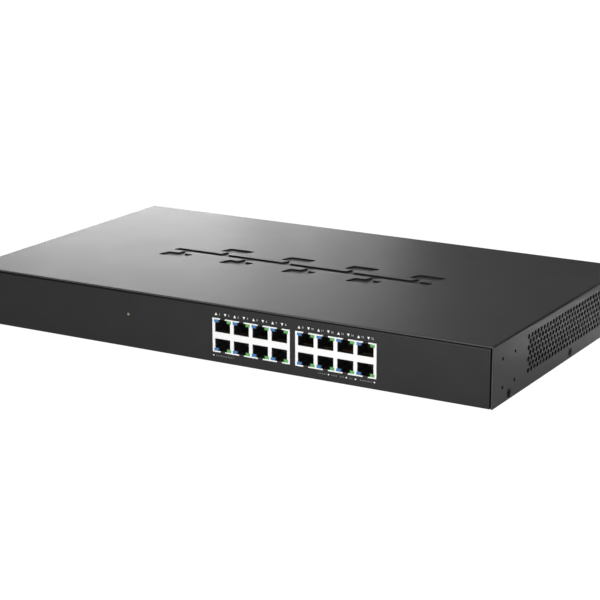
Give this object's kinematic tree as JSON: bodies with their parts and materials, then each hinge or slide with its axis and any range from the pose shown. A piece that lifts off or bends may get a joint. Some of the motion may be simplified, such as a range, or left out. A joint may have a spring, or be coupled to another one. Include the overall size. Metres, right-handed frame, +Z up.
{
  "type": "desktop network switch",
  "caption": "Low, wide rack-height Ethernet switch in a folded black steel housing, with two stacked jack blocks on the front, perforated sides and a mains inlet at the back.",
  "frame": {"origin": "middle of the underside, on the surface that the switch stands on", "axes": "+X to the right of someone facing the front panel, -Y out of the front panel, +Z up"},
  "size_m": [0.44, 0.247, 0.044],
  "materials": {
    "anodised_sink": "anodised",
    "black_moulding": "matt moulded black",
    "black_powder_coat": "fine textured black powder coat",
    "black_screw": "black zinc, satin",
    "blue_light": "lit blue diffuser",
    "blue_wire": "insulation",
    "brass_pin": "nickel plated brass",
    "brown_wire": "insulation",
    "capacitor_can": "drawn can",
    "capacitor_sleeve": "shrunk sleeve",
    "chip_package": "moulded epoxy",
    "circuit_board": "green solder mask",
    "clear_light": "clear, faintly yellow green",
    "copper_winding": "enamelled copper",
    "ferrite": "ground ferrite",
    "fuse_body": "ceramic tube with caps",
    "gold_contact": "gold plated",
    "green_light": "lit green diffuser",
    "green_wire": "green and yellow insulation",
    "insulator_sheet": "black polyester film",
    "plated_steel": "zinc plated",
    "power_board": "tan paper laminate",
    "red_wire": "insulation",
    "thermal_pad": "soft grey pad",
    "tin_plate": "bright tin plate",
    "white_moulding": "natural nylon",
    "yellow_case": "film capacitor case",
    "yellow_tape": "wound tape"
  },
  "bodies": {
    "root": {"ac_inlet": "black_moulding", "base_pan": "black_powder_coat", "board_capacitors": "capacitor_can", "board_inductors": "ferrite", "bridge_rectifier": "chip_package", "bulk_capacitor": "capacitor_sleeve", "clock_crystal": "plated_steel", "cover_screws": "black_screw", "dc_headers": "white_moulding", "dc_plugs": "white_moulding", "dc_wires": "red_wire", "earth_nut": "plated_steel", "earth_ring": "plated_steel", "earth_screw": "plated_steel", "earth_wire": "green_wire", "emi_choke_core": "ferrite", "emi_choke_windings": "copper_winding", "flash_chip": "chip_package", "inlet_nuts": "plated_steel", "inlet_pins": "brass_pin", "inlet_screws": "black_screw", "jack_contacts_left": "gold_contact", "jack_contacts_right": "gold_contact", "jack_housing_left": "black_moulding", "jack_housing_right": "black_moulding", "jack_shield_left": "tin_plate", "jack_shield_right": "tin_plate", "lan_transformers": "black_moulding", "light_pipe": "clear_light", "live_wire": "brown_wire", "main_board": "circuit_board", "main_board_screws": "plated_steel", "main_board_standoffs": "plated_steel", "neutral_wire": "blue_wire", "output_capacitors": "capacitor_sleeve", "phy_chips": "chip_package", "phy_heatsinks": "anodised_sink", "port_lights_blue": "blue_light", "port_lights_green": "green_light", "power_led": "clear_light", "power_transistors": "chip_package", "psu_board": "power_board", "psu_board_screws": "plated_steel", "psu_board_standoffs": "plated_steel", "psu_fuse": "fuse_body", "psu_heatsinks": "anodised_sink", "psu_insulator": "insulator_sheet", "psu_transformer_core": "ferrite", "psu_transformer_winding": "yellow_tape", "switch_chip": "chip_package", "switch_heatsink": "anodised_sink", "thermal_pads": "thermal_pad", "top_cover": "black_powder_coat", "x_capacitor": "yellow_case"}
  },
  "joints": []
}
